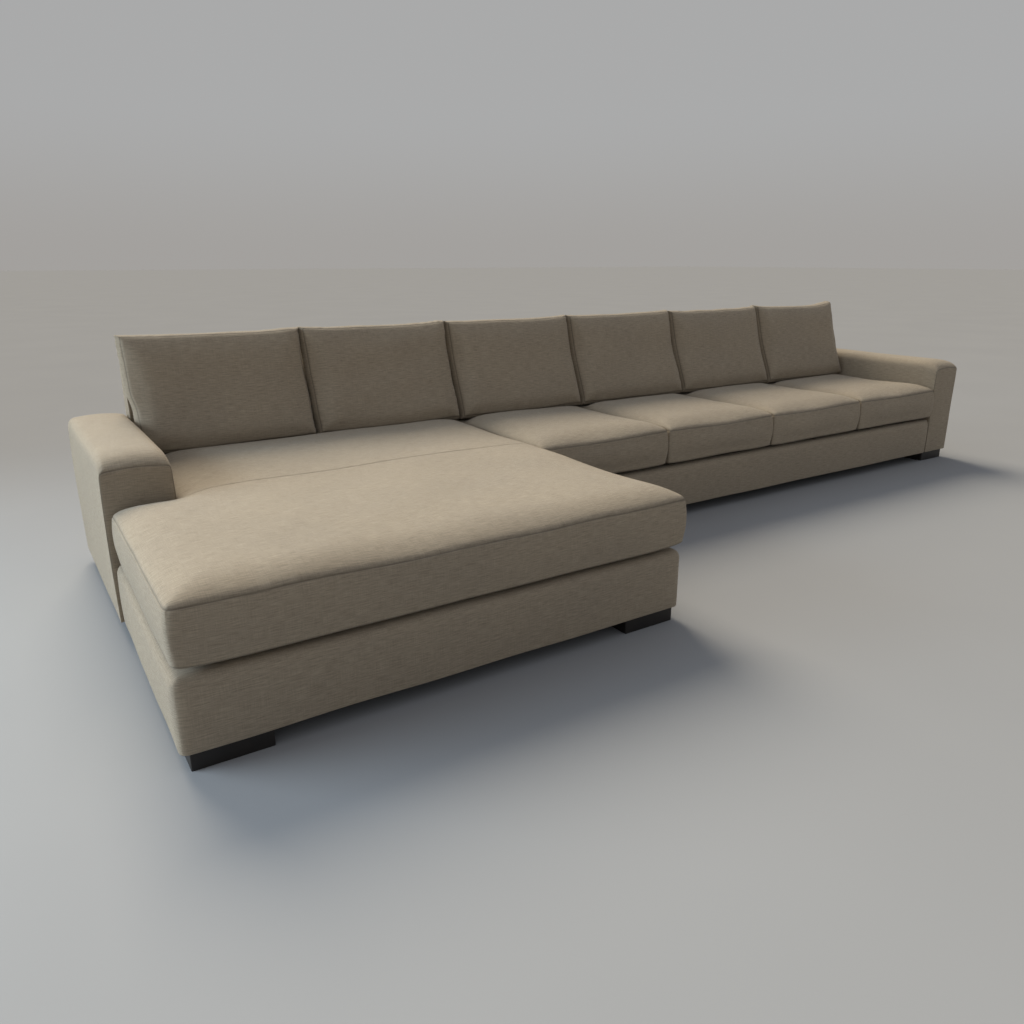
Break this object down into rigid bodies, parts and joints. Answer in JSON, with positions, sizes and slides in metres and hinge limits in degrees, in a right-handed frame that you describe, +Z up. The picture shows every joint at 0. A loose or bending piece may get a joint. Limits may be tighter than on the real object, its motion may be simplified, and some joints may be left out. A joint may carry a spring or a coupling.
{
  "type": "sectional sofa with chaise",
  "caption": "L-shaped upholstered sectional sofa: a double-width chaise with a short arm beside a long seat run, with loose seat and back cushions on block feet.",
  "frame": {"origin": "on the floor under the middle of the whole outline's box", "axes": "+X along the seat run from the chaise to the far arm, +Y to the rear, +Z up"},
  "size_m": [5.2, 1.952, 0.9932],
  "materials": {
    "upholstery": "matte",
    "lining_cloth": "matte",
    "foam": "matte",
    "frame_wood": "matte",
    "foot_wood": "satin",
    "spring_steel": "satin",
    "fastener_steel": "satin"
  },
  "bodies": {
    "chaise_section": {"chaise_long_rails": "frame_wood", "chaise_side_rails": "frame_wood", "chaise_stretchers": "frame_wood", "chaise_spring_rails": "frame_wood", "chaise_leg_blocks": "frame_wood", "chaise_seat_springs": "spring_steel", "chaise_spring_clips": "spring_steel", "chaise_deck": "lining_cloth", "chaise_front_band": "upholstery", "chaise_side_bands": "upholstery", "chaise_dust_cover": "lining_cloth", "chaise_feet": "foot_wood", "chaise_bolts": "fastener_steel", "chaise_back_frame": "frame_wood", "chaise_back_webbing": "lining_cloth", "chaise_inside_back": "upholstery", "chaise_outside_back": "upholstery", "left_arm_frame": "frame_wood", "left_arm_side_panels": "upholstery", "left_arm_facings": "upholstery", "left_arm_top_pad": "upholstery", "connector_sockets": "fastener_steel"},
    "sofa_section": {"sofa_long_rails": "frame_wood", "sofa_side_rails": "frame_wood", "sofa_stretchers": "frame_wood", "sofa_spring_rails": "frame_wood", "sofa_leg_blocks": "frame_wood", "sofa_seat_springs": "spring_steel", "sofa_spring_clips": "spring_steel", "sofa_deck": "lining_cloth", "sofa_front_band": "upholstery", "sofa_side_band": "upholstery", "sofa_dust_cover": "lining_cloth", "sofa_feet": "foot_wood", "sofa_bolts": "fastener_steel", "sofa_back_frame": "frame_wood", "sofa_back_webbing": "lining_cloth", "sofa_inside_back": "upholstery", "sofa_outside_back": "upholstery", "right_arm_frame": "frame_wood", "right_arm_side_panels": "upholstery", "right_arm_facings": "upholstery", "right_arm_top_pad": "upholstery", "connector_hooks": "fastener_steel"},
    "chaise_cushion": {"chaise_cushion_cover": "upholstery", "chaise_cushion_core": "foam"},
    "seat_cushion_1": {"seat_cushion_1_cover": "upholstery", "seat_cushion_1_core": "foam"},
    "seat_cushion_2": {"seat_cushion_2_cover": "upholstery", "seat_cushion_2_core": "foam"},
    "seat_cushion_3": {"seat_cushion_3_cover": "upholstery", "seat_cushion_3_core": "foam"},
    "seat_cushion_4": {"seat_cushion_4_cover": "upholstery", "seat_cushion_4_core": "foam"},
    "back_cushion_1": {"back_cushion_1": "upholstery"},
    "back_cushion_2": {"back_cushion_2": "upholstery"},
    "back_cushion_3": {"back_cushion_3": "upholstery"},
    "back_cushion_4": {"back_cushion_4": "upholstery"},
    "back_cushion_5": {"back_cushion_5": "upholstery"},
    "back_cushion_6": {"back_cushion_6": "upholstery"}
  },
  "joints": [
    {"name": "sofa_section_lift", "type": "slide", "parent": "chaise_section", "child": "sofa_section", "axis": [0, 0, 1], "range_m": [0, 0.06]},
    {"name": "chaise_cushion_pull", "type": "slide", "parent": "chaise_section", "child": "chaise_cushion", "axis": [0, -1, 0], "range_m": [0, 0.85]},
    {"name": "seat_cushion_1_pull", "type": "slide", "parent": "sofa_section", "child": "seat_cushion_1", "axis": [0, -1, 0], "range_m": [0, 0.42]},
    {"name": "seat_cushion_2_pull", "type": "slide", "parent": "sofa_section", "child": "seat_cushion_2", "axis": [0, -1, 0], "range_m": [0, 0.42]},
    {"name": "seat_cushion_3_pull", "type": "slide", "parent": "sofa_section", "child": "seat_cushion_3", "axis": [0, -1, 0], "range_m": [0, 0.42]},
    {"name": "seat_cushion_4_pull", "type": "slide", "parent": "sofa_section", "child": "seat_cushion_4", "axis": [0, -1, 0], "range_m": [0, 0.42]},
    {"name": "back_cushion_1_lift", "type": "slide", "parent": "chaise_section", "child": "back_cushion_1", "axis": [0, 0, 1], "range_m": [0, 0.4]},
    {"name": "back_cushion_2_lift", "type": "slide", "parent": "chaise_section", "child": "back_cushion_2", "axis": [0, 0, 1], "range_m": [0, 0.4]},
    {"name": "back_cushion_3_lift", "type": "slide", "parent": "sofa_section", "child": "back_cushion_3", "axis": [0, 0, 1], "range_m": [0, 0.4]},
    {"name": "back_cushion_4_lift", "type": "slide", "parent": "sofa_section", "child": "back_cushion_4", "axis": [0, 0, 1], "range_m": [0, 0.4]},
    {"name": "back_cushion_5_lift", "type": "slide", "parent": "sofa_section", "child": "back_cushion_5", "axis": [0, 0, 1], "range_m": [0, 0.4]},
    {"name": "back_cushion_6_lift", "type": "slide", "parent": "sofa_section", "child": "back_cushion_6", "axis": [0, 0, 1], "range_m": [0, 0.4]}
  ]
}
